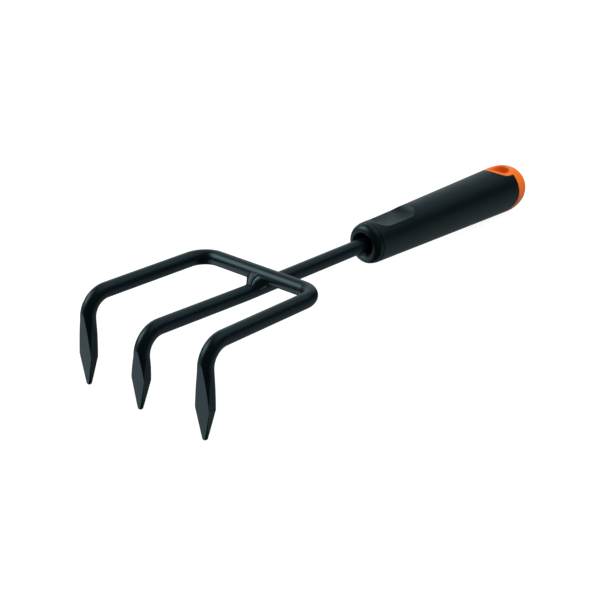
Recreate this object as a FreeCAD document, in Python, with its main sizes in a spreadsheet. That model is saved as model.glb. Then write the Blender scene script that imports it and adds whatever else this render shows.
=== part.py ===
"""Hand cultivator with three forged tines and a moulded handle.

Tool axes used while building: X runs along the straight shaft from the crossbar (x = 0) to the
handle's end, Y is sideways and Z is up, with the shaft's centre line on Y = Z = 0.  Every sub-part
then gets the same Placement, which lets the tool lie on the floor on its outer tine points and the
handle's rounded end.
"""
import FreeCAD, Part
import math
import os
import re
import Sketcher

SIZES = {
    # round bar and welded head
    "rod_radius": 4.0,
    "crossbar_height": 7.6,
    "fork_half_width": 41.5,
    "fork_corner_radius": 11.0,
    "fork_arm_length": 75.5,
    "arm_splay": 1.4,
    "tine_bend_radius": 12.0,
    "saddle_radius": 4.05,
    "crank_start": 10.5,
    "crank_bend_radius": 60.0,
    "center_arm_reach": 77.4,
    "center_arm_rise": 1.5,
    "tang_end": 150.0,
    # forged tines, lengths from the meeting point of arm and tine centre lines
    "fork_tine_lean": 5.0,
    "fork_tine_length": 47.0,
    "center_tine_lean": 7.0,
    "center_tine_length": 39.1,
    "forge_gap": 1.0,
    "forge_overlap": 0.6,
    "forge_face_rise": 5.0,
    "forge_face_half": 3.9,
    "spear_length": 16.2,
    "shoulder_width": 9.5,
    "shoulder_thickness": 4.4,
    "point_width": 2.0,
    "point_thickness": 1.8,
    "point_rounding": 0.8,
    # weld beads in the crossing of crossbar and shaft
    "front_bead_reach": 9.6,
    "rear_bead_reach": 8.4,
    "bead_shoulder": 3.5,
    "bead_outer_radius": 7.7,
    "bead_wrap": 132.0,
    # front collar
    "collar_front": 76.5,
    "collar_rim_radius": 7.4,
    "collar_rim_land": 0.5,
    "collar_nose_height": 7.2,
    "collar_seat_radius": 11.25,
    "collar_mouth_radius": 6.8,
    "collar_funnel_end": 79.4,
    "collar_rod_hole": 4.95,
    "spigot_end": 84.0,
    # grip and core
    "grip_front": 81.2,
    "grip_front_radius": 11.6,
    "grip_lip": 0.35,
    "dome_start": 195.0,
    "dome_start_radius": 14.0,
    "dome_side_radius": 28.0,
    "handle_end": 213.5,
    "core_radius": 6.5,
    # grip tongues beside the hanging eye
    "tongue_end": 198.0,
    "tongue_heel_x": 186.0,
    "tongue_heel_height": 1.0,
    "eye_x": 195.5,
    "eye_ring_radius": 9.0,
    "eye_hole_radius": 6.0,
    "eye_edge_rounding": 1.1,
    "turning_start": 180.0,
    "turning_margin": 4.0,
    "turning_radius": 19.0,
    # thumb dish
    "dish_floor": 8.3,
    "dish_axis": 43.3,
    "dish_front_x": 92.0,
    "dish_front_radius": 11.0,
    "dish_front_top": 14.0,
    "dish_rear_x": 107.2,
    "dish_rear_radius": 10.0,
    "dish_edge_rounding": 0.5,
    # resting pose
    "rest_pitch": 5.3,
    "rest_shift": 0.0,
    "rest_lift": 0.0,
}

START, END, CENTER = 1, 2, 3


def make_sheet(doc):
    """Write every driving dimension into its own aliased cell."""
    sheet = doc.addObject("Spreadsheet::Sheet", "Sizes")
    for row, (alias, value) in enumerate(SIZES.items(), start=1):
        sheet.set(f"A{row}", alias)
        sheet.set(f"B{row}", str(value))
        sheet.setAlias(f"B{row}", alias)
    doc.recompute()
    return sheet


def vector(x, y=0.0, z=0.0):
    return FreeCAD.Vector(x, y, z)


def sized(expression):
    """Point each bare size name of an expression at its cell in the sheet."""
    return re.sub(r"[a-z]+(?:_[a-z]+)+", lambda name: f"Sizes.{name[0]}", str(expression))


def offset_expression(base, *turns):
    """Placement expression: a shift, then turns given as (axis letter, angle expression)."""
    axes = {"x": "1; 0; 0", "y": "0; 1; 0", "z": "0; 0; 1"}
    terms = [f"create(<<rotation>>; create(<<vector>>; {axes[letter]}); {angle})"
             for letter, angle in turns] or ["create(<<rotation>>; 0; 0; 0)"]
    shift = "create(<<vector>>; " + "; ".join(base) + ")"
    return f"create(<<placement>>; {shift}; {' * '.join(terms)})"


def make_body(doc, name):
    body = doc.addObject("PartDesign::Body", name)
    body.Label = name
    return body


def origin_plane(body, role):
    return next(item for item in body.Origin.OriginFeatures if item.Role == role)


class Outline:
    """A sketch on one of a body's origin planes, whose sizes are bound to the sheet."""

    def __init__(self, body, name, role, offset=None):
        self.sketch = body.newObject("Sketcher::SketchObject", name)
        self.sketch.AttachmentSupport = [(origin_plane(body, role), "")]
        self.sketch.MapMode = "FlatFace"
        if offset:
            self.sketch.setExpression("AttachmentOffset", sized(offset))
        self.count = 0
        body.Document.recompute()

    def value(self, expression):
        """The number that an expression has now, in the sheet's document."""
        result = self.sketch.evalExpression(sized(expression))
        return float(getattr(result, "Value", result))

    def rule(self, kind, *arguments, expression=None):
        """Add a constraint, bound to an expression if one is given."""
        if expression is None:
            self.sketch.addConstraint(Sketcher.Constraint(kind, *arguments))
            return
        index = self.sketch.addConstraint(
            Sketcher.Constraint(kind, *arguments, self.value(expression)))
        self.count += 1
        label = f"size{self.count}"
        self.sketch.renameConstraint(index, label)
        self.sketch.setExpression(f"Constraints.{label}", sized(expression))

    def fix(self, edge, point, x, z):
        """Hold one point of an edge at bound coordinates."""
        self.rule("DistanceX", -1, 1, edge, point, expression=x)
        self.rule("DistanceY", -1, 1, edge, point, expression=z)

    def circle(self, x, z, radius):
        spot = vector(self.value(x), self.value(z))
        edge = self.sketch.addGeometry(Part.Circle(spot, vector(0, 0, 1), self.value(radius)))
        self.fix(edge, CENTER, x, z)
        self.rule("Radius", edge, expression=radius)
        return edge

    def chain(self, points, arcs=None, closed=True):
        """Join bound points by lines, or by arcs where arcs gives (centre x, centre z, turn)."""
        arcs = arcs or {}
        spots = [vector(self.value(x), self.value(z)) for x, z in points]
        last = len(points) if closed else len(points) - 1
        edges = []
        for index in range(last):
            start, end = spots[index], spots[(index + 1) % len(spots)]
            if index not in arcs:
                edge = self.sketch.addGeometry(Part.LineSegment(start, end))
                edges.append((edge, START, END))
                continue
            center_x, center_z, turn = arcs[index]
            center = vector(self.value(center_x), self.value(center_z))
            radius = (start - center).Length
            first, second = (start, end) if turn > 0 else (end, start)
            angles = [math.atan2(spot.y - center.y, spot.x - center.x) for spot in (first, second)]
            if angles[1] <= angles[0]:
                angles[1] += 2 * math.pi
            arc = Part.ArcOfCircle(Part.Circle(center, vector(0, 0, 1), radius), *angles)
            edge = self.sketch.addGeometry(arc)
            edges.append((edge, START, END) if turn > 0 else (edge, END, START))
        for index, (edge, first, _) in enumerate(edges):
            self.fix(edge, first, *points[index])
            if index in arcs:
                self.rule("DistanceX", -1, 1, edge, CENTER, expression=arcs[index][0])
        for index, (edge, _, second) in enumerate(edges):
            following = edges[(index + 1) % len(edges)]
            if closed or index + 1 < len(edges):
                self.rule("Coincident", edge, second, following[0], following[1])
            else:
                self.fix(edge, second, *points[-1])
        return [edge for edge, _, _ in edges]


def revolve(body, outline, kind, angle=360.0, axis="H_Axis", midplane=False):
    """Turn an outline about an axis of its own sketch, as added or cut material."""
    feature = body.newObject(kind, outline.sketch.Name + "_turned")
    feature.Profile = outline.sketch
    feature.ReferenceAxis = (outline.sketch, [axis])
    if isinstance(angle, str):
        feature.setExpression("Angle", sized(angle))
    else:
        feature.Angle = angle
    feature.Midplane = midplane
    return finish_feature(body, outline, feature)


def extrude(body, outline, kind, length=None, midplane=False, reverse=False):
    """Pad or pocket an outline by a bound length, or through the whole body."""
    feature = body.newObject(kind, outline.sketch.Name + "_solid")
    feature.Profile = outline.sketch
    if length is None:
        feature.Type = "ThroughAll"
    else:
        feature.setExpression("Length", sized(length))
    feature.Midplane = midplane
    feature.Reversed = reverse
    return finish_feature(body, outline, feature)


def sweep(body, section, path):
    """Carry a round section along a path of tangent lines and arcs."""
    feature = body.newObject("PartDesign::AdditivePipe", path.sketch.Name + "_bar")
    feature.Profile = section.sketch
    feature.Spine = path.sketch
    return finish_feature(body, section, feature)


def finish_feature(body, outline, feature):
    """Recompute one feature and check that it changed the body the way it should."""
    before = feature.BaseFeature.Shape.Volume if feature.BaseFeature else 0.0
    outline.sketch.Visibility = False
    body.Document.recompute()
    if feature.Shape.isNull() or not feature.isValid():
        raise RuntimeError(f"{feature.Name} failed: {feature.getStatusString()}")
    change = feature.Shape.Volume - before
    cuts = "Pocket" in feature.TypeId or "Groove" in feature.TypeId
    if (change < -0.01) != cuts:
        raise RuntimeError(f"{feature.Name} changed the volume by {change:.2f} mm3")
    return feature


def bar_section(body, name, offset):
    """Round bar section on the plane across the shaft, moved to where a bar starts."""
    section = Outline(body, name, "YZ_Plane", offset)
    section.circle("0", "0", "rod_radius")
    return section


class Tine:
    """One forged tine: a bend out of its arm, then a bar flattened into a spear point.

    corner is where the centre lines of arm and tine meet, in tool axes.  turn is the arm's angle
    about the upright and slope its rise towards the tine, both in degrees.
    """

    def __init__(self, body, name, corner, turn, slope, lean, length):
        self.body, self.name, self.length = body, name, length
        self.corner, self.turn = corner, turn
        self.slope, self.lean = f"({slope}) * 1 deg", f"{lean} * 1 deg"
        self.lean_degrees = lean
        self.setback = f"tine_bend_radius * tan((90 * 1 deg - {self.lean} + {self.slope}) / 2)"
        self.forge_start = f"({self.setback} + forge_gap)"
        self.shoulder = f"({length} - spear_length)"

    def side_frame(self, *more_turns):
        """Upright plane through the arm, with its origin at the corner and x towards the handle."""
        x, y, z = self.corner
        return offset_expression((x, z, f"-({y})"), ("y", self.turn), *more_turns)

    def front_frame(self, *more_turns):
        """Upright plane across the arm, with its origin at the corner."""
        x, y, z = self.corner
        return offset_expression((y, z, x), ("y", self.turn), *more_turns)

    def path(self, lead=(), lead_arcs=None):
        """Centre line from the lead's points round the bend to just inside the forging."""
        end_x = f"{self.setback} * cos({self.slope})"
        end_z = f"-{self.setback} * sin({self.slope})"
        center_x = f"{end_x} - tine_bend_radius * sin({self.slope})"
        center_z = f"{end_z} - tine_bend_radius * cos({self.slope})"
        tine_x = f"{center_x} - tine_bend_radius * cos({self.lean})"
        tine_z = f"{center_z} + tine_bend_radius * sin({self.lean})"
        reach = f"({self.forge_start} + forge_overlap)"
        points = [*lead, (end_x, end_z), (tine_x, tine_z),
                  (f"-{reach} * sin({self.lean})", f"-{reach} * cos({self.lean})")]
        arcs = {**(lead_arcs or {}), len(lead): (center_x, center_z, 1)}
        outline = Outline(self.body, self.name + "_path", "XZ_Plane", self.side_frame())
        outline.chain(points, arcs=arcs, closed=False)
        return outline

    def forge(self):
        """Add the spear blank below the bend, then press its four flats."""
        leaned = self.side_frame(("z", f"-{self.lean_degrees}"))
        start, shoulder, length = self.forge_start, self.shoulder, self.length
        blank = Outline(self.body, self.name + "_blank", "XZ_Plane", leaned)
        corner_radius = "sqrt(shoulder_width ^ 2 + shoulder_thickness ^ 2) / 2"
        point_radius = "sqrt(point_width ^ 2 + point_thickness ^ 2) / 2"
        blank.chain([("0", f"-{start}"), ("rod_radius", f"-{start}"),
                     (corner_radius, f"-{shoulder}"),
                     (point_radius, f"point_rounding - {length}"), ("0", f"-{length}")],
                    arcs={3: ("0", f"1.5 - {length}", -1)})
        revolve(self.body, blank, "PartDesign::Revolution", axis="V_Axis")
        front = [("-forge_face_half", f"forge_face_rise - {start}"),
                 ("-shoulder_thickness / 2", f"-{shoulder}"),
                 ("-point_thickness / 2", f"-{length} - 1"),
                 ("-shoulder_width", f"-{length} - 1"),
                 ("-shoulder_width", f"forge_face_rise - {start}")]
        faces = Outline(self.body, self.name + "_faces", "XZ_Plane", leaned)
        faces.chain(front)
        faces.chain(self.flat("", "thickness"))
        extrude(self.body, faces, "PartDesign::Pocket", midplane=True)
        sides = Outline(self.body, self.name + "_sides", "YZ_Plane",
                        self.front_frame(("x", self.lean_degrees)))
        sides.chain(self.flat("", "width"))
        sides.chain(self.flat("-", "width"))
        extrude(self.body, sides, "PartDesign::Pocket", midplane=True)

    def flat(self, sign, size):
        """Outline of the metal pressed away on one side, from the forging's start to its point."""
        start, shoulder, length = self.forge_start, self.shoulder, self.length
        return [(f"{sign}rod_radius", f"-{start}"),
                (f"{sign}shoulder_{size} / 2", f"-{shoulder}"),
                (f"{sign}point_{size} / 2", f"-{length} - 1"),
                (f"{sign}shoulder_width", f"-{length} - 1"),
                (f"{sign}shoulder_width", f"-{start}")]


def make_center_rod(doc):
    """Tang, straight shaft and middle arm in one bar, cranked up a little towards its tine."""
    body = make_body(doc, "center_tine_rod")
    rise = "atan(center_arm_rise / (center_arm_reach - crank_start))"
    tine = Tine(body, "center_tine", ("-center_arm_reach", "0", "center_arm_rise"), "0",
                f"{rise} / 1 deg", "center_tine_lean", "center_tine_length")
    crank_x = "(center_arm_reach - crank_start)"
    setback = f"(crank_bend_radius * tan({rise} / 2))"
    lead = [("center_arm_reach + tang_end", "-center_arm_rise"),
            (f"{crank_x} + {setback}", "-center_arm_rise"),
            (f"{crank_x} - {setback} * cos({rise})",
             f"{setback} * sin({rise}) - center_arm_rise")]
    crank = (f"{crank_x} + {setback}", "crank_bend_radius - center_arm_rise", -1)
    section = bar_section(body, "shaft_section", offset_expression(("0", "0", "tang_end")))
    sweep(body, section, tine.path(lead, {1: crank}))
    tine.forge()
    return body


def make_fork(doc):
    """One bar bent into a U: crossbar, two splayed arms and a forged tine on each."""
    body = make_body(doc, "side_tine_fork")
    splay = "arm_splay * 1 deg"
    corner_y = f"(fork_half_width + fork_arm_length * tan({splay}))"
    tines = [Tine(body, name, ("-fork_arm_length", f"{sign}{corner_y}", "crossbar_height"),
                  f"{turn}arm_splay", "0", "fork_tine_lean", "fork_tine_length")
             for name, sign, turn in (("left_tine", "", "-"), ("right_tine", "-", ""))]
    setback = tines[0].setback
    start_x = f"{setback} * cos({splay}) - fork_arm_length"
    start_y = f"({corner_y} - {setback} * sin({splay}))"
    fillet = f"(fork_corner_radius * tan((90 * 1 deg - {splay}) / 2))"
    half = [(start_x, start_y),
            (f"-{fillet} * cos({splay})", f"(fork_half_width + {fillet} * sin({splay}))"),
            ("0", f"(fork_half_width - {fillet})")]
    mirrored = [(x, f"-{y}") for x, y in reversed(half)]
    bar = Outline(body, "fork_path", "XY_Plane", offset_expression(("0", "0", "crossbar_height")))
    center_y = f"(fork_half_width - {fillet})"
    bar.chain(half + mirrored, closed=False,
              arcs={1: ("-fork_corner_radius", center_y, -1),
                    3: ("-fork_corner_radius", f"-{center_y}", -1)})
    section = bar_section(body, "fork_section", offset_expression(
        (start_y, "crossbar_height", start_x), ("y", "-arm_splay")))
    sweep(body, section, bar)
    for tine, sign, turn in zip(tines, ("", "-"), ("-", "")):
        section = bar_section(body, tine.name + "_section", offset_expression(
            (f"{sign}{start_y}", "crossbar_height", start_x), ("y", f"{turn}arm_splay")))
        sweep(body, section, tine.path())
        tine.forge()
    saddle = Outline(body, "saddle", "YZ_Plane")
    saddle.circle("0", "0", "saddle_radius")
    extrude(body, saddle, "PartDesign::Pocket", midplane=True)
    return body


def make_weld_bead(doc, name, side, reach):
    """Fillet of weld metal laid over the shaft against one flank of the crossbar."""
    body = make_body(doc, name)
    outline = Outline(body, name + "_fillet", "XZ_Plane")
    toe = (f"{side}{reach}", "rod_radius")
    shoulder = (f"{side}bead_shoulder", "bead_outer_radius")
    top, root = ("0", "bead_outer_radius"), ("0", "rod_radius")
    outline.chain([toe, shoulder, top, root])
    revolve(body, outline, "PartDesign::Revolution", angle="bead_wrap", midplane=True)
    crossbar = Outline(body, name + "_crossbar", "XZ_Plane")
    crossbar.circle("0", "crossbar_height", "rod_radius")
    extrude(body, crossbar, "PartDesign::Pocket", midplane=True)
    return body


def make_collar(doc):
    """Front ring of the handle: a round nose and funnel, with a spigot inside the grip."""
    body = make_body(doc, "front_collar")
    outline = Outline(body, "collar_profile", "XZ_Plane")
    nose_x = ("((grip_front ^ 2 - collar_front ^ 2"
              " + (collar_seat_radius - collar_nose_height) ^ 2"
              " - (collar_rim_radius - collar_nose_height) ^ 2)"
              " / (2 * (grip_front - collar_front)))")
    outline.chain([
        ("collar_front", "collar_rim_radius"),
        ("grip_front", "collar_seat_radius"),
        ("grip_front", "core_radius"),
        ("spigot_end", "core_radius"),
        ("spigot_end", "collar_rod_hole"),
        ("collar_funnel_end", "collar_rod_hole"),
        ("collar_front + collar_rim_land", "collar_mouth_radius")],
        arcs={0: (nose_x, "collar_nose_height", -1)})
    revolve(body, outline, "PartDesign::Revolution")
    return body


class Flank:
    """The handle's outer line: a long taper, a wide arc that leaves it smoothly, and a tighter
    arc round the end, whose centre follows from the two arcs touching each other."""

    slope = "atan((dome_start_radius - grip_front_radius) / (dome_start - grip_front))"
    side_x = f"(dome_start + dome_side_radius * sin({slope}))"
    side_z = f"(dome_start_radius - dome_side_radius * cos({slope}))"
    reach = "(dome_side_radius - handle_end)"
    end_x = f"(({side_x} ^ 2 + {side_z} ^ 2 - {reach} ^ 2) / (2 * ({reach} + {side_x})))"
    share = f"(dome_side_radius / ({reach} + {end_x}))"
    join = (f"{side_x} + {share} * ({end_x} - {side_x})", f"{side_z} - {share} * {side_z}")
    side_arc = (side_x, side_z, -1)
    end_arc = (end_x, "0", -1)


def cap_block(body, name):
    """Side view of the end cap, from the grip's tongues to past the handle's end."""
    outline = Outline(body, name, "XZ_Plane")
    behind = "handle_end + turning_margin"
    drop = "tongue_heel_height - (tongue_end - tongue_heel_x)"
    outline.chain([("tongue_end", "turning_radius"), ("tongue_end", "tongue_heel_height"),
                   ("tongue_heel_x", drop), ("tongue_heel_x", "-turning_radius"),
                   (behind, "-turning_radius"), (behind, "turning_radius")],
                  arcs={1: ("tongue_heel_x", "tongue_heel_height", -1)})
    return outline


def eye_surround(body, name):
    """Top view of the cap's round-fronted ring about the hanging eye."""
    outline = Outline(body, name, "XY_Plane")
    back = "tongue_end + 2"
    outline.chain([("eye_x", "eye_ring_radius"), ("eye_x", "-eye_ring_radius"),
                   (back, "-eye_ring_radius"), (back, "eye_ring_radius")],
                  arcs={0: ("eye_x", "0", 1)})
    return outline


def make_core(doc):
    """Inner moulding: tang socket and barrel, ending in the domed cap with the hanging eye."""
    body = make_body(doc, "handle_core")
    barrel = Outline(body, "barrel_section", "YZ_Plane", offset_expression(("0", "0", "spigot_end")))
    barrel.circle("0", "0", "core_radius")
    extrude(body, barrel, "PartDesign::Pad", length="tongue_end - spigot_end")
    extrude(body, cap_block(body, "cap_block"), "PartDesign::Pad",
            length="2 * turning_radius", midplane=True)
    extrude(body, eye_surround(body, "eye_surround"), "PartDesign::Pad",
            length="2 * turning_radius", midplane=True)

    turning = Outline(body, "cap_turning", "XZ_Plane")
    behind = "handle_end + turning_margin"
    start_radius = f"dome_start_radius - (dome_start - turning_start) * tan({Flank.slope})"
    turning.chain([("turning_start", start_radius), ("dome_start", "dome_start_radius"),
                   Flank.join, ("handle_end", "0"), (behind, "0"),
                   (behind, "2 * turning_radius"), ("turning_start", "2 * turning_radius")],
                  arcs={1: Flank.side_arc, 2: Flank.end_arc})
    revolve(body, turning, "PartDesign::Groove")

    eye = Outline(body, "eye_hole", "XY_Plane")
    eye.circle("eye_x", "0", "eye_hole_radius")
    drilled = extrude(body, eye, "PartDesign::Pocket", midplane=True)
    round_edges(body, drilled, "eye_rounding", is_eye_mouth, "eye_edge_rounding")

    socket = Outline(body, "tang_socket", "YZ_Plane", offset_expression(("0", "0", "tang_end")))
    socket.circle("0", "0", "rod_radius")
    extrude(body, socket, "PartDesign::Pocket")
    return body


def round_edges(body, feature, name, wanted, size):
    """Round the edges of a feature that pass a test, by a bound radius."""
    edges = [f"Edge{number}" for number, edge in enumerate(feature.Shape.Edges, start=1)
             if edge.Length > SIZES[size] and wanted(edge.discretize(9))]
    rounding = body.newObject("PartDesign::Fillet", name)
    rounding.Base = (feature, edges)
    rounding.setExpression("Radius", sized(size))
    body.Document.recompute()
    return rounding


def is_eye_mouth(spots):
    """Whether an edge's points lie on the wall of the hanging eye, at one of its two mouths."""
    offsets = [math.hypot(spot.x - SIZES["eye_x"], spot.y) for spot in spots]
    on_wall = all(abs(offset - SIZES["eye_hole_radius"]) < 0.01 for offset in offsets)
    return on_wall and min(abs(spot.z) for spot in spots) > SIZES["eye_ring_radius"]


def is_dish_rim(spots):
    """Whether an edge's points follow the thumb dish's outline on the grip's tapered skin."""
    rear = SIZES["dish_rear_x"] + SIZES["dish_rear_radius"]
    taper = ((SIZES["dome_start_radius"] - SIZES["grip_front_radius"])
             / (SIZES["dome_start"] - SIZES["grip_front"]))
    skin = [SIZES["grip_front_radius"] + taper * (spot.x - SIZES["grip_front"])
            for spot in spots]
    on_skin = all(abs(math.hypot(spot.y, spot.z) - radius) < 0.02
                  for spot, radius in zip(spots, skin))
    beside_axis = max(abs(spot.y) for spot in spots) > 1
    return on_skin and beside_axis and max(spot.x for spot in spots) < rear + 0.1


def make_grip(doc):
    """Outer grip sleeve with its thumb dish and the two tongues beside the hanging eye."""
    body = make_body(doc, "grip_shell")
    sleeve = Outline(body, "sleeve_profile", "XZ_Plane")
    sleeve.chain([("grip_front", "core_radius"), ("grip_front", "grip_front_radius - grip_lip"),
                  ("grip_front + grip_lip", "grip_front_radius"),
                  ("dome_start", "dome_start_radius"), Flank.join,
                  (Flank.join[0], "core_radius")], arcs={3: Flank.side_arc})
    revolve(body, sleeve, "PartDesign::Revolution")
    extrude(body, cap_block(body, "cap_seat"), "PartDesign::Pocket", midplane=True)
    extrude(body, eye_surround(body, "surround_seat"), "PartDesign::Pocket", midplane=True)

    dish = Outline(body, "thumb_dish", "XZ_Plane", offset_expression(("0", "dish_axis", "0")))
    floor = "dish_floor - dish_axis"
    half_chord = ("sqrt(dish_front_radius ^ 2 - "
                  "(dish_floor + dish_front_radius - dish_front_top) ^ 2)")
    front = f"dish_front_x - {half_chord}"
    rear = "dish_rear_x + dish_rear_radius"
    dish.chain([(front, "dish_front_top - dish_axis"), ("dish_front_x", floor),
                ("dish_rear_x", floor), (rear, f"{floor} + dish_rear_radius"),
                (rear, "0"), (front, "0")],
               arcs={0: ("dish_front_x", "0", 1), 2: ("dish_rear_x", "0", 1)})
    dished = revolve(body, dish, "PartDesign::Groove")
    round_edges(body, dished, "dish_rounding", is_dish_rim, "dish_edge_rounding")
    return body


def lay_on_floor(doc, sheet, bodies):
    """Tip the tool onto its tine points and handle end, over the middle of its outline."""
    placement = offset_expression(("rest_shift", "0", "rest_lift"), ("y", "rest_pitch"))
    for body in bodies:
        body.setExpression("Placement", sized(placement))
    doc.recompute()
    box = FreeCAD.BoundBox()
    for body in bodies:
        box.add(body.Shape.optimalBoundingBox())
    sheet.set(sheet.getCellFromAlias("rest_shift"), f"{-box.Center.x:.4f}")
    sheet.set(sheet.getCellFromAlias("rest_lift"), f"{-box.ZMin:.4f}")
    doc.recompute()
    print(f"crossing at x {-box.Center.x:.4f}, z {-box.ZMin:.4f}")


def check(doc, bodies):
    """Stop on any failed object, empty shape or invalid solid."""
    for item in doc.Objects:
        if {"Invalid", "Error"} & set(item.State):
            raise RuntimeError(f"{item.Name} is {item.State}")
    for body in bodies:
        shape = body.Shape
        if shape.isNull() or not shape.isValid() or len(shape.Solids) != 1:
            raise RuntimeError(f"{body.Label} is not one valid solid")


def main():
    doc = FreeCAD.newDocument("hand_cultivator")
    sheet = make_sheet(doc)
    bodies = [make_center_rod(doc), make_fork(doc),
              make_weld_bead(doc, "front_weld_bead", "-", "front_bead_reach"),
              make_weld_bead(doc, "rear_weld_bead", "", "rear_bead_reach"),
              make_collar(doc), make_core(doc), make_grip(doc)]
    lay_on_floor(doc, sheet, bodies)
    check(doc, bodies)
    os.makedirs("parts", exist_ok=True)
    for body in bodies:
        body.Shape.exportStep(f"parts/{body.Label}.step")
        box = body.Shape.optimalBoundingBox()
        print(f"{body.Label}: {body.Shape.Volume:.0f} mm3, "
              f"x {box.XMin:.2f} {box.XMax:.2f}, y {box.YMin:.2f} {box.YMax:.2f}, "
              f"z {box.ZMin:.2f} {box.ZMax:.2f}")


main()
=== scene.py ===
"""Looks of a three-tined hand cultivator that lies on its tine points and its handle's end.

Every size is in millimetres along the tool's own axes until ToolAxes carries it into the frame's
metres: X runs along the shaft from the crossbar towards the handle, Y is sideways and Z is up.
"""
import logging
import math
from dataclasses import dataclass, field
from enum import Enum

import bmesh
import bpy
import numpy as np
from mathutils import Matrix, Vector


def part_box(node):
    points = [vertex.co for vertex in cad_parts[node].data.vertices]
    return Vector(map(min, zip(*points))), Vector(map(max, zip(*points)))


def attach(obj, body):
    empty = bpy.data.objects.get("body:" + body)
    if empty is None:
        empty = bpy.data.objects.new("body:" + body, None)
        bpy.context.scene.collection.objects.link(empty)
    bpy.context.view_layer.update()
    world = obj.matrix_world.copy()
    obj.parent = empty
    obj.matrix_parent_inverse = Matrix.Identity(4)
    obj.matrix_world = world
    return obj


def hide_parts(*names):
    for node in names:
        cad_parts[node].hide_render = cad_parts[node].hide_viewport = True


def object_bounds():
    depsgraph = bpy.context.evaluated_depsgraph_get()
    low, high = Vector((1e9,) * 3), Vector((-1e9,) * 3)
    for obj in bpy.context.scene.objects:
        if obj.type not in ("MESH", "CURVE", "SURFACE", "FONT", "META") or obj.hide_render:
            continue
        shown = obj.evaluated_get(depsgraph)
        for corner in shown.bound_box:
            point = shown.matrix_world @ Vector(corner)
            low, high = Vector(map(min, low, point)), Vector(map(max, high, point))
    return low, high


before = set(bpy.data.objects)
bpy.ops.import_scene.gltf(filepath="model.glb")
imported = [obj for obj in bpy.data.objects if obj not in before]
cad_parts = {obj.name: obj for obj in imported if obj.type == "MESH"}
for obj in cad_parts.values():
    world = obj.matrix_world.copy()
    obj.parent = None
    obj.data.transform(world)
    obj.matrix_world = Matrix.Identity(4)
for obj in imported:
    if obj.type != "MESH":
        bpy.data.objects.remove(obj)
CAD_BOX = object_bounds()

logging.basicConfig(level=logging.INFO, format="%(message)s")
LOG = logging.getLogger("cultivator")

MM = 0.001
BODY = "root"
PLASTIC_IOR = 1.5
Array = np.ndarray
Triple = tuple[float, float, float]
Color = Triple


# ---------------------------------------------------------------- axes and meshes

@dataclass(frozen=True)
class ToolAxes:
    """The tool's own axes inside the frame, read from where the front collar lies.

    Fields, in degrees and millimetres:
        pitch: how far the shaft leans down towards the handle's end at rest.
        collar_rim_x, collar_rim_radius: where along the shaft the collar's front rim is.
        collar_wide_x: where along the shaft the collar is widest.
    """

    pitch: float = 5.3
    collar_rim_x: float = 76.5
    collar_rim_radius: float = 7.4
    collar_wide_x: float = 80.588

    def rotation(self) -> Array:
        """Matrix that turns tool axes into frame axes: a turn about Y by the resting pitch."""
        c, s = math.cos(math.radians(self.pitch)), math.sin(math.radians(self.pitch))
        return np.array([[c, 0.0, s], [0.0, 1.0, 0.0], [-s, 0.0, c]])

    def origin(self) -> Array:
        """Crossing of crossbar and shaft, in frame millimetres.

        The middle of the collar's box is as high as the shaft at the collar's widest ring, and
        the box's lowest x is the rim's lower edge, which the pitch brings nearer the tines.

        Returns:
            The point as x, y and z.
        """
        low, high = (np.array(corner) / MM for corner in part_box("front_collar"))
        c, s = math.cos(math.radians(self.pitch)), math.sin(math.radians(self.pitch))
        x = low[0] + self.collar_rim_radius * s - self.collar_rim_x * c
        z = (low[2] + high[2]) / 2 + self.collar_wide_x * s
        return np.array([x, (low[1] + high[1]) / 2, z])

    def place(self, points: Array) -> Array:
        """Carry points in tool millimetres, shaped (..., 3), to frame metres."""
        return (points @ self.rotation().T + self.origin()) * MM


@dataclass
class SweptSurface:
    """A closed surface on a grid of rings, with a shared point at the middle of each end ring.

    Fields:
        name: name of the finished piece.
        rings: points in tool millimetres, shaped (rings, points in a ring, 3).
    """

    name: str
    rings: Array

    def faces(self) -> list[list[int]]:
        """Quads between rings i and i + 1, and a fan of triangles from each pole.

        Returns:
            The corner numbers of every face.
        """
        count, around = self.rings.shape[:2]
        i, j = np.meshgrid(np.arange(count - 1), np.arange(around), indexing="ij")
        k = (j + 1) % around
        quads = np.stack([i * around + j, i * around + k, (i + 1) * around + k,
                          (i + 1) * around + j], axis=-1).reshape(-1, 4)
        first, last = count * around, count * around + 1
        a, b = np.arange(around), (np.arange(around) + 1) % around
        base = (count - 1) * around
        start = np.stack([np.full(around, first), b, a], axis=-1)
        end = np.stack([np.full(around, last), base + a, base + b], axis=-1)
        return quads.tolist() + start.tolist() + end.tolist()

    def build(self, axes: ToolAxes) -> bpy.types.Object:
        """Make the mesh object, with its place in its mesh and its faces outwards.

        Args:
            axes: the tool's axes, which carry the rings into the frame.
        Returns:
            The finished object, at the origin.
        """
        poles = [self.rings[0].mean(0), self.rings[-1].mean(0)]
        points = np.vstack([self.rings.reshape(-1, 3), *poles])
        mesh = bpy.data.meshes.new(self.name)
        mesh.from_pydata(axes.place(points).tolist(), [], self.faces())
        mesh.validate()
        mesh.polygons.foreach_set("use_smooth", np.ones(len(mesh.polygons), dtype=bool))
        mesh.update()
        piece = bpy.data.objects.new(self.name, mesh)
        bpy.context.scene.collection.objects.link(piece)
        turn_outwards(mesh)
        return piece


def turn_outwards(mesh: bpy.types.Mesh) -> None:
    """Flip a closed mesh whose signed volume, a sum of corner products, is negative.

    Args:
        mesh: the mesh, which is changed in place.
    """
    work = bmesh.new()
    work.from_mesh(mesh)
    if work.calc_volume(signed=True) < 0:
        bmesh.ops.reverse_faces(work, faces=work.faces)
    work.to_mesh(mesh)
    work.free()


# ---------------------------------------------------------------- shared node groups

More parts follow.
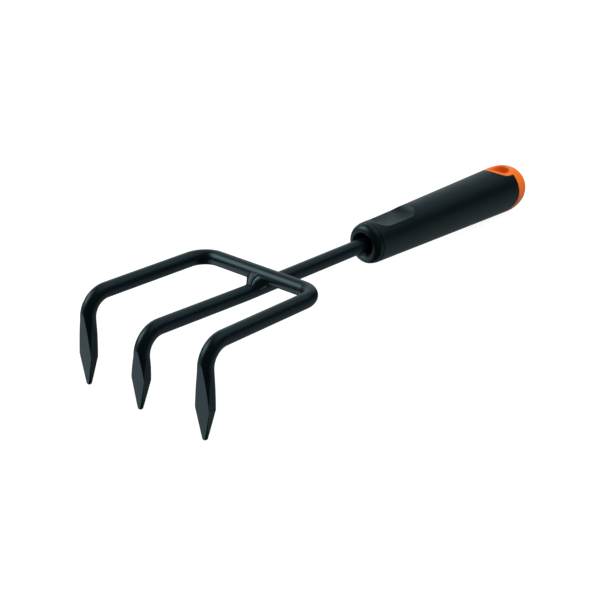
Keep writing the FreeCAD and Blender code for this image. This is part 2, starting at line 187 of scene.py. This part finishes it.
class Graph:
    """A node tree with short ways to add and join nodes."""

    def __init__(self, tree: bpy.types.NodeTree) -> None:
        """Keep the tree that nodes go into."""
        self.tree = tree

    def add(self, kind: str, inputs: dict | None = None, **settings: object) -> bpy.types.Node:
        """Add one node.

        Args:
            kind: the node's type, such as ShaderNodeTexNoise.
            inputs: socket name or number to a plain value, or to a socket to join from.
            settings: the node's own properties.
        Returns:
            The new node.
        """
        node = self.tree.nodes.new(kind)
        for name, value in settings.items():
            setattr(node, name, value)
        for name, value in (inputs or {}).items():
            if isinstance(value, bpy.types.NodeSocket):
                self.tree.links.new(value, node.inputs[name])
            else:
                node.inputs[name].default_value = value
        return node

    def join(self, start: bpy.types.NodeSocket, end: bpy.types.NodeSocket) -> None:
        """Link two sockets."""
        self.tree.links.new(start, end)


class SocketKind(Enum):
    """Kinds of group socket, by Blender's own names."""

    NUMBER = "NodeSocketFloat"
    COLOR = "NodeSocketColor"
    VECTOR = "NodeSocketVector"


def new_group(name: str, inputs: dict[str, tuple[SocketKind, object]],
              outputs: dict[str, SocketKind]) -> tuple[bpy.types.NodeTree, Graph, dict, object]:
    """Make an empty shader node group with named sockets.

    Args:
        name: the group's name.
        inputs: socket name to its kind and starting value.
        outputs: socket name to its kind.
    Returns:
        The tree, a Graph on it, its input sockets by name, and the output node.
    """
    tree = bpy.data.node_groups.new(name, "ShaderNodeTree")
    for label, (kind, value) in inputs.items():
        socket = tree.interface.new_socket(label, in_out="INPUT", socket_type=kind.value)
        if value is not None:
            socket.default_value = value
    for label, kind in outputs.items():
        tree.interface.new_socket(label, in_out="OUTPUT", socket_type=kind.value)
    graph = Graph(tree)
    source = graph.add("NodeGroupInput")
    sink = graph.add("NodeGroupOutput")
    return tree, graph, {label: source.outputs[label] for label in inputs}, sink


class SurfaceEffects:
    """The effects that several finishes share, each built once as a node group."""

    def __init__(self) -> None:
        """Build every group."""
        self.tone = self.uneven_tone()
        self.grain = self.surface_grain()
        self.marks = self.handling_marks()

    @staticmethod
    def uneven_tone() -> bpy.types.NodeTree:
        """Two tones mixed by soft clouds: cloud = noise at Scale, stretched round its middle.

        Returns:
            The node group.
        """
        tree, graph, given, sink = new_group(
            "uneven tone",
            {"Place": (SocketKind.VECTOR, None), "Deep": (SocketKind.COLOR, None),
             "Raised": (SocketKind.COLOR, None), "Scale": (SocketKind.NUMBER, 40.0)},
            {"Color": SocketKind.COLOR, "Cloud": SocketKind.NUMBER})
        noise = graph.add("ShaderNodeTexNoise", {"Vector": given["Place"],
                                                 "Scale": given["Scale"], "Detail": 4.0,
                                                 "Roughness": 0.6})
        cloud = graph.add("ShaderNodeMapRange", {"Value": noise.outputs["Fac"],
                                                 "From Min": 0.32, "From Max": 0.68})
        mix = graph.add("ShaderNodeMix", {0: cloud.outputs["Result"], 6: given["Deep"],
                                          7: given["Raised"]}, data_type="RGBA")
        graph.join(mix.outputs[2], sink.inputs["Color"])
        graph.join(cloud.outputs["Result"], sink.inputs["Cloud"])
        return tree

    @staticmethod
    def surface_grain() -> bpy.types.NodeTree:
        """Height of a fine grain: a coarse noise and a cell pattern, mixed by Sharpness.

        Returns:
            The node group.
        """
        tree, graph, given, sink = new_group(
            "surface grain",
            {"Place": (SocketKind.VECTOR, None), "Scale": (SocketKind.NUMBER, 1000.0),
             "Sharpness": (SocketKind.NUMBER, 0.5)},
            {"Height": SocketKind.NUMBER, "Fleck": SocketKind.NUMBER})
        noise = graph.add("ShaderNodeTexNoise", {"Vector": given["Place"],
                                                 "Scale": given["Scale"], "Detail": 3.0,
                                                 "Roughness": 0.65})
        finer = graph.add("ShaderNodeMath", {0: given["Scale"], 1: 1.7}, operation="MULTIPLY")
        cells = graph.add("ShaderNodeTexVoronoi", {"Vector": given["Place"],
                                                   "Scale": finer.outputs[0]})
        mix = graph.add("ShaderNodeMix", {0: given["Sharpness"], 2: noise.outputs["Fac"],
                                          3: cells.outputs["Distance"]}, data_type="FLOAT")
        fleck = graph.add("ShaderNodeMapRange", {"Value": mix.outputs[0], "From Min": 0.42,
                                                 "From Max": 0.75})
        graph.join(mix.outputs[0], sink.inputs["Height"])
        graph.join(fleck.outputs["Result"], sink.inputs["Fleck"])
        return tree

    @staticmethod
    def handling_marks() -> bpy.types.NodeTree:
        """Roughness round a base value: raised by flecks and by broad smears of handling.

        Returns:
            The node group.
        """
        tree, graph, given, sink = new_group(
            "handling marks",
            {"Place": (SocketKind.VECTOR, None), "Base": (SocketKind.NUMBER, 0.4),
             "Spread": (SocketKind.NUMBER, 0.08), "Fleck": (SocketKind.NUMBER, 0.0)},
            {"Roughness": SocketKind.NUMBER})
        smear = graph.add("ShaderNodeTexNoise", {"Vector": given["Place"], "Scale": 70.0,
                                                 "Detail": 5.0, "Roughness": 0.7,
                                                 "Distortion": 0.8})
        both = graph.add("ShaderNodeMath", {0: smear.outputs["Fac"], 1: given["Fleck"]},
                         operation="ADD")
        middle = graph.add("ShaderNodeMath", {0: both.outputs[0], 1: 0.8},
                           operation="SUBTRACT")
        rough = graph.add("ShaderNodeMath", {0: middle.outputs[0], 1: given["Spread"],
                                             2: given["Base"]}, operation="MULTIPLY_ADD")
        rough.use_clamp = True
        graph.join(rough.outputs[0], sink.inputs["Roughness"])
        return tree


# ---------------------------------------------------------------- finishes

@dataclass(frozen=True)
class Finish:
    """One real finish, from its tone down to its grain.

    Fields:
        name: the material's name.
        slot: the record's material slot; not used.
        deep, raised: the two tones that clouds mix, in linear light.
        cloud_scale: clouds per metre.
        roughness, roughness_spread: middle of the roughness and how far it wanders.
        grain_scale, grain_sharpness, grain_height: grain per metre, share of cells in it, and
            its height in millimetres.
        gloss_tint: tint of the surface reflection.
        reflectance: level of the surface reflection, 0.5 for common plastic.
    """

    name: str
    slot: str
    deep: Color
    raised: Color
    cloud_scale: float
    roughness: float
    roughness_spread: float
    grain_scale: float
    grain_sharpness: float
    grain_height: float
    gloss_tint: Color = (1.0, 1.0, 1.0)
    reflectance: float = 0.5

    def material(self, effects: SurfaceEffects) -> bpy.types.Material:
        """Build the material from the shared effects.

        Args:
            effects: the node groups that every finish shares.
        Returns:
            The finished material.
        """
        made = bpy.data.materials.new(self.name)
        made.use_nodes = True
        made.node_tree.nodes.clear()
        graph = Graph(made.node_tree)
        place = graph.add("ShaderNodeTexCoord").outputs["Object"]
        tone = graph.add("ShaderNodeGroup", node_tree=effects.tone)
        grain = graph.add("ShaderNodeGroup", node_tree=effects.grain)
        marks = graph.add("ShaderNodeGroup", node_tree=effects.marks)
        for group in (tone, grain, marks):
            graph.join(place, group.inputs["Place"])
        tone.inputs["Deep"].default_value = (*self.deep, 1.0)
        tone.inputs["Raised"].default_value = (*self.raised, 1.0)
        tone.inputs["Scale"].default_value = self.cloud_scale
        grain.inputs["Scale"].default_value = self.grain_scale
        grain.inputs["Sharpness"].default_value = self.grain_sharpness
        marks.inputs["Base"].default_value = self.roughness
        marks.inputs["Spread"].default_value = self.roughness_spread
        graph.join(grain.outputs["Fleck"], marks.inputs["Fleck"])
        bump = graph.add("ShaderNodeBump", {"Height": grain.outputs["Height"],
                                            "Strength": 1.0,
                                            "Distance": self.grain_height * MM})
        shader = graph.add("ShaderNodeBsdfPrincipled", {
            "Base Color": tone.outputs["Color"], "Roughness": marks.outputs["Roughness"],
            "Normal": bump.outputs["Normal"], "IOR": PLASTIC_IOR,
            "Specular IOR Level": self.reflectance,
            "Specular Tint": (*self.gloss_tint, 1.0)})
        sink = graph.add("ShaderNodeOutputMaterial")
        graph.join(shader.outputs["BSDF"], sink.inputs["Surface"])
        return made


COOL_GLOSS: Color = (0.70, 0.92, 1.0)

COATED_BAR = Finish("coated_bar", "coated_bar", deep=(0.0008, 0.0026, 0.0034),
                    raised=(0.0016, 0.0038, 0.0048), cloud_scale=60.0, roughness=0.31,
                    roughness_spread=0.10, grain_scale=2600.0, grain_sharpness=0.25,
                    grain_height=0.035, gloss_tint=COOL_GLOSS, reflectance=0.55)
COATED_WELD = Finish("coated_weld", "coated_weld", deep=(0.0020, 0.0050, 0.0062),
                     raised=(0.0050, 0.0085, 0.0100), cloud_scale=220.0, roughness=0.29,
                     roughness_spread=0.14, grain_scale=1500.0, grain_sharpness=0.35,
                     grain_height=0.06, gloss_tint=COOL_GLOSS, reflectance=0.6)
COLLAR_PLASTIC = Finish("collar_plastic", "collar_plastic", deep=(0.0010, 0.0028, 0.0034),
                        raised=(0.0018, 0.0040, 0.0048), cloud_scale=90.0, roughness=0.32,
                        roughness_spread=0.08, grain_scale=3200.0, grain_sharpness=0.3,
                        grain_height=0.02, gloss_tint=COOL_GLOSS)
GRIP_PLASTIC = Finish("grip_plastic", "grip_plastic", deep=(0.0010, 0.0028, 0.0034),
                      raised=(0.0018, 0.0040, 0.0048), cloud_scale=35.0, roughness=0.36,
                      roughness_spread=0.10, grain_scale=2300.0, grain_sharpness=0.5,
                      grain_height=0.09, gloss_tint=COOL_GLOSS, reflectance=0.5)
CORE_PLASTIC = Finish("core_plastic", "core_plastic", deep=(0.86, 0.150, 0.008),
                      raised=(0.94, 0.185, 0.012), cloud_scale=45.0, roughness=0.38,
                      roughness_spread=0.08, grain_scale=2600.0, grain_sharpness=0.3,
                      grain_height=0.02, reflectance=0.5)


@dataclass
class CarriedPart:
    """A part whose CAD shape is kept, with its finish."""

    node: str
    finish: Finish

    def dress(self, effects: SurfaceEffects) -> None:
        """Give the part its finish as its only material.

        Args:
            effects: the node groups that every finish shares.
        """
        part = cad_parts[self.node]
        part.data.materials.clear()
        part.data.materials.append(self.finish.material(effects))
        LOG.info("%s: CAD shape, finish %s", self.node, self.finish.name)


# ---------------------------------------------------------------- welded head

class Flank(Enum):
    """The side of the crossbar that a bead lies on, as the sign of its x."""

    TINES = -1
    HANDLE = 1


@dataclass
class WeldBead:
    """A rippled fillet of weld metal that climbs over the shaft against the crossbar.

    Fields, in millimetres and degrees:
        reach, root_reach: how far the toe on the shaft runs out from the crossbar's middle line,
            over the shaft and at the bead's two ends.
        wrap: how far the bead climbs down each side of the shaft.
        half_length, lean: half the length of the toe on the crossbar, and its shift sideways.
        rise, drop: how far above the crossbar's middle that toe stands over the shaft, and how
            far below it at the ends.
        fill: share of the hollow between the bars that is full, 1 for a flat face.
        crown: swell of the face above that.
        laps: how many laps the bead was laid in, each lap_height tall and bowed by lap_bow.
        sink: how far the toes lie under the bars' faces.
        bluntness, climb_power, closing: powers of the way along the bead that shape the oval of
            the shaft's toe, the crossbar's toe and the closing of the two ends.
        hollow_share, hollow_offset, hollow_width, hollow_height: the point towards which a hollow
            face is pulled, as shares of the two toes and a distance from the crossbar's middle.
        outward: parts along, across and up of the direction in which crown and laps rise.
        heart: depth, width share, height and height offset of the line inside the two bars.
        seed: seed of the laps' slow waves.
        along, across, inside: points along the bead, over its face and through its inside.
    """

    name: str
    node: str
    flank: Flank
    reach: float
    root_reach: float = 0.6
    wrap: float = 88.0
    bar_radius: float = 4.0
    crossbar_height: float = 7.6
    half_length: float = 7.4
    lean: float = -0.6
    rise: float = 28.0
    drop: float = 72.0
    fill: float = 0.35
    crown: float = 0.15
    laps: int = 5
    lap_height: float = 0.5
    lap_bow: float = 0.10
    sink: float = 0.25
    bluntness: float = 3.6
    climb_power: float = 1.8
    closing: float = 24.0
    hollow_share: float = 0.5
    hollow_offset: float = 1.0
    hollow_width: float = 0.4
    hollow_height: float = 0.45
    outward: Triple = (0.62, 0.75, 0.62)
    heart: tuple[float, float, float, float] = (0.3, 0.55, 2.6, 0.6)
    seed: int = 3
    along: int = 150
    across: int = 44
    inside: int = 6

    def lap_lift(self, u: Array, v: Array) -> Array:
        """Height of the laps: arched humps that meet in soft valleys, bowed across the bead.

        Phase is the way along the bead, bent by the square of the distance from its middle line
        and pushed to and fro by a slow wave, and height is the size of the phase's sine, rounded
        off near nothing.

        Args:
            u: the way along the bead, from -1 to 1.
            v: the way over its face, from 0 at the shaft to 1 at the crossbar.
        Returns:
            The lift in millimetres at each u and v.
        """
        draw = np.random.default_rng(self.seed)
        shift, swell = draw.uniform(0, 2 * math.pi, 2)
        wander = 0.03 * np.sin(2.3 * math.pi * u + shift)
        phase = self.laps * ((u + 1) / 2 + self.lap_bow * (v - 0.5) ** 2 * 4 + wander)
        size = 0.8 + 0.2 * np.sin(3.1 * math.pi * u + swell)
        return self.lap_height * size * (np.sqrt(np.sin(math.pi * phase) ** 2 + 0.02) - 0.14)

    def rings(self) -> Array:
        """Closed sections along the bead, from one side of the shaft over it to the other.

        Each section is a hollow parabola from the toe on the shaft to the toe on the crossbar,
        lifted by the crown and the laps, and it returns through the inside of the two bars.  The
        toe on the shaft follows a blunt half oval, and the sections close at both ends.

        Returns:
            Points in tool millimetres, shaped (rings, points in a ring, 3).
        """
        u = np.linspace(-1, 1, self.along)[:, None]
        v = np.linspace(0, 1, self.across)[None, :]
        bow = np.sqrt(np.clip(1 - np.abs(u) ** self.bluntness, 0, 1))
        turn = np.radians(self.wrap) * u
        radius = self.bar_radius - self.sink
        toe_x = self.root_reach + (self.reach - self.root_reach) * bow
        toe = np.stack([toe_x, radius * np.sin(turn), radius * np.cos(turn)], axis=-1)
        fall = (self.rise + self.drop) * np.abs(u) ** self.climb_power
        climb = np.radians(fall - self.rise)
        top = np.stack([radius * np.cos(climb),
                        self.half_length * np.sin(math.pi / 2 * u) + self.lean,
                        self.crossbar_height - radius * np.sin(climb)], axis=-1)
        corner = np.stack([self.hollow_share * toe_x + self.hollow_offset,
                           self.hollow_width * (toe[..., 1] + top[..., 1]),
                           self.hollow_height * (toe[..., 2] + top[..., 2])], axis=-1)
        pull = (toe + top) / 2 * self.fill + corner * (1 - self.fill)
        step = v[..., None]
        face = (1 - step) ** 2 * toe + 2 * step * (1 - step) * pull + step ** 2 * top
        along, sideways, up = self.outward
        out = np.stack([along + 0 * u, sideways * np.sin(turn), up * np.cos(turn)], axis=-1)
        out /= np.linalg.norm(out, axis=-1, keepdims=True)
        arch = np.sin(math.pi * v)
        lift = (self.crown * arch ** 0.8 * (0.35 + 0.65 * bow)
                + self.lap_lift(u, v) * arch ** 0.5 * bow)
        outer = face + out * lift[..., None]
        deep, width, height, offset = self.heart
        heart = np.stack([deep + 0 * u, width * radius * np.sin(turn),
                          height * np.cos(turn) + offset], axis=-1)
        w = np.linspace(0, 1, self.inside + 2)[None, 1:-1, None]
        back = (1 - w) ** 2 * top + 2 * w * (1 - w) * heart + w ** 2 * toe
        rings = np.concatenate([outer, back], axis=1)
        middle = rings.mean(axis=1, keepdims=True)
        close = np.clip(1 - np.abs(u) ** self.closing, 0.02, 1)[..., None]
        rings = middle + (rings - middle) * close
        rings[..., 0] *= self.flank.value
        return rings

    def build(self, axes: ToolAxes, effects: SurfaceEffects) -> bpy.types.Object:
        """Make the bead, dress it and let it stand for its plain CAD solid.

        Args:
            axes: the tool's axes.
            effects: the node groups that every finish shares.
        Returns:
            The finished bead.
        """
        piece = SweptSurface(self.name, self.rings()).build(axes)
        piece.data.materials.append(COATED_WELD.material(effects))
        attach(piece, BODY)
        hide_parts(self.node)
        LOG.info("%s: %d laps, stands for %s", self.name, self.laps, self.node)
        return piece


@dataclass
class WeldedHead:
    """The three tines: middle rod, outer fork and the two beads that join them."""

    rod: CarriedPart = field(default_factory=lambda: CarriedPart("center_tine_rod", COATED_BAR))
    fork: CarriedPart = field(default_factory=lambda: CarriedPart("side_tine_fork", COATED_BAR))
    beads: tuple[WeldBead, ...] = (
        WeldBead("front_bead", "front_weld_bead", Flank.TINES, reach=8.0),
        WeldBead("rear_bead", "rear_weld_bead", Flank.HANDLE, reach=7.4, rise=16.0, seed=8))

    def build(self, axes: ToolAxes, effects: SurfaceEffects) -> None:
        """Dress the bars and lay the beads.

        Args:
            axes: the tool's axes.
            effects: the node groups that every finish shares.
        """
        self.rod.dress(effects)
        self.fork.dress(effects)
        for bead in self.beads:
            bead.build(axes, effects)


# ---------------------------------------------------------------- handle

@dataclass
class Handle:
    """Front collar, inner core with the bright end cap, and the outer grip."""

    parts: tuple[CarriedPart, ...] = (
        CarriedPart("front_collar", COLLAR_PLASTIC),
        CarriedPart("handle_core", CORE_PLASTIC),
        CarriedPart("grip_shell", GRIP_PLASTIC))

    def build(self, effects: SurfaceEffects) -> None:
        """Dress the three mouldings."""
        for part in self.parts:
            part.dress(effects)


# ---------------------------------------------------------------- studio

@dataclass(frozen=True)
class SoftPanel:
    """A soft patch of light in the surroundings.

    Fields:
        toward: direction from the object to the patch, in frame axes.
        core, edge: angles in degrees at which the patch starts and ends its fall to nothing.
        radiance: its brightness in the core.
    """

    toward: Triple
    core: float
    edge: float
    radiance: float


@dataclass(frozen=True)
class MattFill:
    """A broad light that brightens matt colour and leaves no highlight of its own.

    Fields:
        toward: direction from the object to the light, in frame axes.
        strength: its strength in watts per square metre.
        spread: its width in degrees.
    """

    toward: Triple
    strength: float
    spread: float = 60.0

    def build(self, name: str) -> None:
        """Add the light and hide it from reflections.

        Args:
            name: the light's name.
        """
        data = bpy.data.lights.new(name, "SUN")
        data.energy, data.angle = self.strength, math.radians(self.spread)
        lamp = bpy.data.objects.new(name, data)
        bpy.context.scene.collection.objects.link(lamp)
        lamp.rotation_mode = "QUATERNION"
        lamp.rotation_quaternion = Vector(self.toward).to_track_quat("Z", "Y")
        lamp.visible_glossy = False


@dataclass(frozen=True)
class Studio:
    """Pale floor and soft surroundings, brightest in one strip over the tool's far side."""

    ambient: float = 0.05
    tint: Color = (0.76, 0.95, 1.0)
    panels: tuple[SoftPanel, ...] = (
        SoftPanel((-0.42, 0.654, 0.63), 7.0, 27.0, 3.2),
        SoftPanel((0.6, 0.75, 0.25), 12.0, 48.0, 0.52),
        SoftPanel((-0.604, 0.654, -0.456), 10.0, 45.0, 0.8),
        SoftPanel((0.45, -0.15, 0.85), 24.0, 35.0, 0.5),
        SoftPanel((0.604, -0.65, -0.45), 20.0, 34.0, 0.24),
        SoftPanel((0.604, 0.061, -0.797), 10.0, 38.0, 0.20))
    fills: tuple[MattFill, ...] = (
        MattFill((0.20, -0.72, 0.66), 2.7),
        MattFill((0.35, 0.80, 0.45), 1.2))
    floor_half: float = 8.0
    floor_squares: int = 8
    floor_gap: float = 0.0001

    def surroundings(self) -> None:
        """World light: the ambient level plus each panel's smooth patch.

        A patch is a smooth step of the cosine between a direction and the panel's own, from its
        edge angle up to its core angle.
        """
        world = bpy.data.worlds.new("studio surroundings")
        bpy.context.scene.world = world
        world.use_nodes = True
        world.node_tree.nodes.clear()
        graph = Graph(world.node_tree)
        way = graph.add("ShaderNodeTexCoord").outputs["Generated"]
        total: bpy.types.NodeSocket | float = self.ambient
        for panel in self.panels:
            unit = np.array(panel.toward) / np.linalg.norm(panel.toward)
            cosine = graph.add("ShaderNodeVectorMath", {0: way, 1: tuple(unit)},
                               operation="DOT_PRODUCT").outputs["Value"]
            patch = graph.add("ShaderNodeMapRange", {
                "Value": cosine, "From Min": math.cos(math.radians(panel.edge)),
                "From Max": math.cos(math.radians(panel.core)), "To Min": 0.0,
                "To Max": panel.radiance}, interpolation_type="SMOOTHSTEP")
            total = graph.add("ShaderNodeMath", {0: total, 1: patch.outputs["Result"]},
                              operation="ADD").outputs[0]
        light = graph.add("ShaderNodeBackground", {"Color": (*self.tint, 1.0),
                                                   "Strength": total})
        seen = graph.add("ShaderNodeBackground", {"Color": (1.0, 1.0, 1.0, 1.0),
                                                  "Strength": 1.0})
        path = graph.add("ShaderNodeLightPath")
        mix = graph.add("ShaderNodeMixShader", {0: path.outputs["Is Camera Ray"],
                                                1: light.outputs[0], 2: seen.outputs[0]})
        sink = graph.add("ShaderNodeOutputWorld")
        graph.join(mix.outputs[0], sink.inputs["Surface"])

    def floor(self) -> None:
        """Wide pale floor just under the tool, which keeps out of its reflections."""
        height = CAD_BOX[0][2] - self.floor_gap
        count, row = self.floor_squares, self.floor_squares + 1
        side = np.linspace(-self.floor_half, self.floor_half, row)
        x, y = np.meshgrid(side, side, indexing="ij")
        points = np.stack([x, y, np.full_like(x, height)], axis=-1).reshape(-1, 3)
        i, j = np.meshgrid(np.arange(count), np.arange(count), indexing="ij")
        corner = (i * row + j).ravel()
        faces = np.stack([corner, corner + row, corner + row + 1, corner + 1], axis=-1)
        mesh = bpy.data.meshes.new("studio_floor")
        mesh.from_pydata(points.tolist(), [], faces.tolist())
        ground = bpy.data.objects.new("studio_floor", mesh)
        bpy.context.scene.collection.objects.link(ground)
        made = bpy.data.materials.new("pale floor")
        made.use_nodes = True
        made.node_tree.nodes.clear()
        graph = Graph(made.node_tree)
        shader = graph.add("ShaderNodeBsdfPrincipled", {
            "Base Color": (0.22, 0.22, 0.22, 1.0), "Roughness": 0.9,
            "Specular IOR Level": 0.0, "Emission Color": (1.0, 1.0, 1.0, 1.0),
            "Emission Strength": 0.90})
        sink = graph.add("ShaderNodeOutputMaterial")
        graph.join(shader.outputs["BSDF"], sink.inputs["Surface"])
        mesh.materials.append(made)
        ground.visible_glossy = False
        ground.visible_diffuse = False

    def build(self) -> None:
        """Set up the surroundings, the floor and plain colour handling."""
        self.surroundings()
        for number, fill in enumerate(self.fills, start=1):
            fill.build(f"matt_fill_{number}")
        self.floor()
        bpy.context.scene.view_settings.view_transform = "Standard"
        LOG.info("studio: %d soft panels over a pale floor", len(self.panels))


@dataclass(frozen=True)
class CatalogueCamera:
    """Three-quarter view from the tines' side, given in tool axes.

    azimuth, elevation and roll are in degrees, place in millimetres and lens for a 36 mm sensor.
    """

    place: Triple = (-464.113, -499.533, 287.314)
    azimuth: float = -44.56
    elevation: float = 23.41
    roll: float = -1.91
    lens: float = 87.586

    def orientation(self) -> Array:
        """Turn of the camera, from azimuth and elevation, then rolled.

        Returns:
            Columns right, up and back in tool axes.
        """
        a, e, r = (math.radians(turn) for turn in (self.azimuth, self.elevation, self.roll))
        back = np.array([math.sin(a) * math.cos(e), -math.cos(a) * math.cos(e), math.sin(e)])
        right = np.array([math.cos(a), math.sin(a), 0.0])
        up = np.cross(back, right)
        turned_right = right * math.cos(r) + up * math.sin(r)
        turned_up = -right * math.sin(r) + up * math.cos(r)
        return np.stack([turned_right, turned_up, back], axis=1)

    def build(self, axes: ToolAxes) -> None:
        """Make the camera and let the scene use it.

        Args:
            axes: the tool's axes.
        """
        data = bpy.data.cameras.new("catalogue_camera")
        data.lens, data.sensor_width = self.lens, 36.0
        data.clip_start, data.clip_end = 0.01, 50.0
        camera = bpy.data.objects.new("catalogue_camera", data)
        bpy.context.scene.collection.objects.link(camera)
        pose = np.eye(4)
        pose[:3, :3] = axes.rotation() @ self.orientation()
        pose[:3, 3] = axes.place(np.array(self.place))
        camera.matrix_world = Matrix(pose.tolist())
        bpy.context.scene.camera = camera


def main() -> None:
    """Build the tool's sub-assemblies in order, then the studio round them."""
    axes = ToolAxes()
    effects = SurfaceEffects()
    WeldedHead().build(axes, effects)
    Handle().build(effects)
    Studio().build()
    CatalogueCamera().build(axes)


if __name__ == "__main__":
    main()
